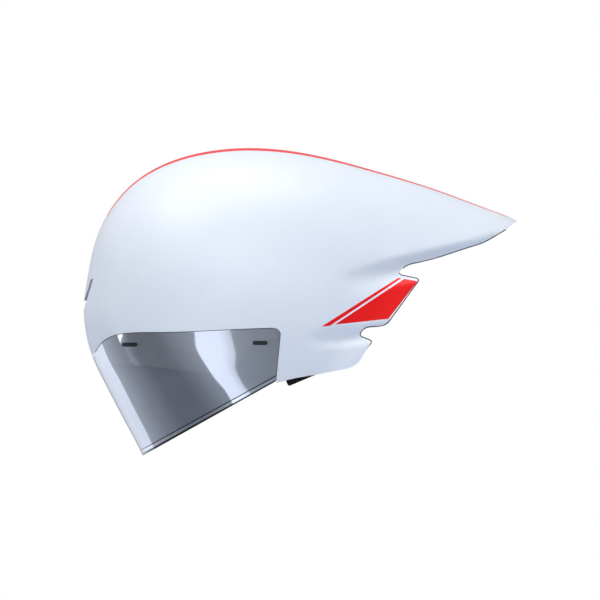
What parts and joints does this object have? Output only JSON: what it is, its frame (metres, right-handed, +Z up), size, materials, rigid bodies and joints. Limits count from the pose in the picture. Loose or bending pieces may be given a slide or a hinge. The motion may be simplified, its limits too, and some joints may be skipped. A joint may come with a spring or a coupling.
{
  "type": "aero time trial helmet",
  "caption": "Long-tailed aero cycling helmet with a magnetic wrap visor, side air channels, foam liner, dial fit belt and chin strap.",
  "frame": {"origin": "on the table, under the middle of the helmet's box, as it stands on the visor's foot and the ear covers", "axes": "+X towards the tail, front at -X, wearer's left at -Y, +Z up"},
  "size_m": [0.355, 0.1956, 0.208],
  "materials": {
    "painted_shell": "semi-gloss white paint with red stripes and side panels",
    "visor_mirror": "silver mirror coating on a smoke lens",
    "magnet_black": "black coated magnets",
    "black_plastic": "satin black moulded plastic",
    "black_mesh": "black grille",
    "black_foam": "moulded black bead foam",
    "pad_fabric": "brushed knit over foam",
    "grey_plastic": "moulded dark grey plastic",
    "screw_steel": "small steel screws",
    "dial_rubber": "red rubber grip",
    "belt_plastic": "flexible nylon belt",
    "webbing": "woven strap",
    "buckle_plastic": "moulded buckle"
  },
  "bodies": {
    "helmet": {"outer_shell": "painted_shell", "visor_seat_frame": "black_plastic", "seat_magnets": "magnet_black", "intake_insert": "black_mesh", "tail_underside_cover": "black_plastic", "foam_liner": "black_foam", "brow_pad": "pad_fabric", "strap_buttons": "black_plastic", "chin_strap_left": "webbing", "chin_strap_right": "webbing", "buckle_socket": "buckle_plastic", "crown_pad_left": "pad_fabric", "side_pad_left": "pad_fabric", "ear_pad_left": "pad_fabric", "temple_anchor_left": "black_plastic", "strap_divider_left": "black_plastic", "front_strap_left": "webbing", "rear_strap_left": "webbing", "crown_pad_right": "pad_fabric", "side_pad_right": "pad_fabric", "ear_pad_right": "pad_fabric", "temple_anchor_right": "black_plastic", "strap_divider_right": "black_plastic", "front_strap_right": "webbing", "rear_strap_right": "webbing"},
    "visor": {"visor_lens": "visor_mirror", "visor_magnets": "magnet_black"},
    "cradle": {"temple_arm_left": "belt_plastic", "belt_arm_left": "belt_plastic", "temple_arm_right": "belt_plastic", "belt_arm_right": "belt_plastic"},
    "drive_housing": {"dial_housing": "grey_plastic", "housing_lid": "grey_plastic", "housing_screws": "screw_steel", "detent_spring": "black_plastic", "nape_pad": "pad_fabric"},
    "dial": {"dial_knob": "dial_rubber", "pinion": "black_plastic"},
    "left_rack": {"rack_left": "belt_plastic"},
    "right_rack": {"rack_right": "belt_plastic"},
    "plug": {"buckle_plug": "buckle_plastic"}
  },
  "joints": [
    {"name": "visor_pull", "type": "slide", "parent": "helmet", "child": "visor", "axis": [-1, 0, 0], "range_m": [0, 0.08]},
    {"name": "cradle_tilt", "type": "hinge", "parent": "helmet", "child": "cradle", "pos_m": [-0.06202, 0, 0.04597], "axis": [0, 1, 0], "range_deg": [-2, 7]},
    {"name": "housing_draw", "type": "slide", "parent": "cradle", "child": "drive_housing", "axis": [-1, 0, 0], "range_m": [0, 0.0122]},
    {"name": "dial_turn", "type": "hinge", "parent": "drive_housing", "child": "dial", "pos_m": [0.03017, 0, 0.04597], "axis": [-1, 0, 0], "range_deg": [0, 137.5]},
    {"name": "rack_left_draw", "type": "slide", "parent": "cradle", "child": "left_rack", "axis": [-0.7071, 0.7071, 0], "range_m": [0, 0.0173], "deforming": ["belt_arm_left"]},
    {"name": "rack_right_draw", "type": "slide", "parent": "cradle", "child": "right_rack", "axis": [-0.7071, -0.7071, 0], "range_m": [0, 0.0173], "deforming": ["belt_arm_right"]},
    {"name": "buckle_release", "type": "slide", "parent": "helmet", "child": "plug", "axis": [0, 1, 0], "range_m": [0, 0.013], "deforming": ["chin_strap_right"]}
  ],
  "couplings": [
    {"joint": "housing_draw", "follows": "dial_turn", "m_per_rad": 0.005},
    {"joint": "rack_left_draw", "follows": "dial_turn", "m_per_rad": 0.0070711},
    {"joint": "rack_right_draw", "follows": "dial_turn", "m_per_rad": 0.0070711}
  ]
}
